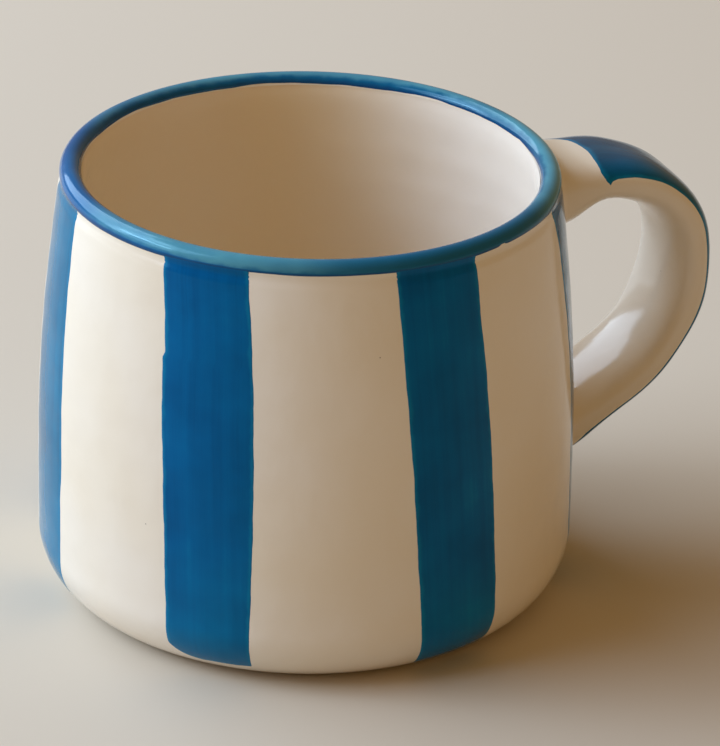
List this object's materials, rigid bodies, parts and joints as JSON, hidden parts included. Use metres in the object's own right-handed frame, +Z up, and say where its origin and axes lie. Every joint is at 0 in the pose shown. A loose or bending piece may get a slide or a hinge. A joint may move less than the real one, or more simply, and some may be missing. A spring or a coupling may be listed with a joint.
{
  "type": "ceramic mug",
  "caption": "Tapered stoneware mug with rounded foot, looped strap handle, painted rim band and hand-brushed vertical stripes.",
  "frame": {"origin": "bottom centre of the bounding box, handle included, on the surface the mug stands on; the mug's own axis is 13.5 mm behind it, towards -X", "axes": "+Z up along the mug's axis, +X from the mug towards its handle"},
  "size_m": [0.1206, 0.0935, 0.0774],
  "materials": {
    "cream_glaze": "gloss",
    "blue_paint": "gloss"
  },
  "bodies": {
    "root": {"body": "cream_glaze", "handle": "cream_glaze", "upper_slip_joint": "cream_glaze", "lower_slip_joint": "cream_glaze", "rim_band": "blue_paint", "handle_stripe": "blue_paint", "stripe_1": "blue_paint", "stripe_2": "blue_paint", "stripe_3": "blue_paint", "stripe_4": "blue_paint", "stripe_5": "blue_paint", "stripe_6": "blue_paint", "stripe_7": "blue_paint"}
  },
  "joints": []
}
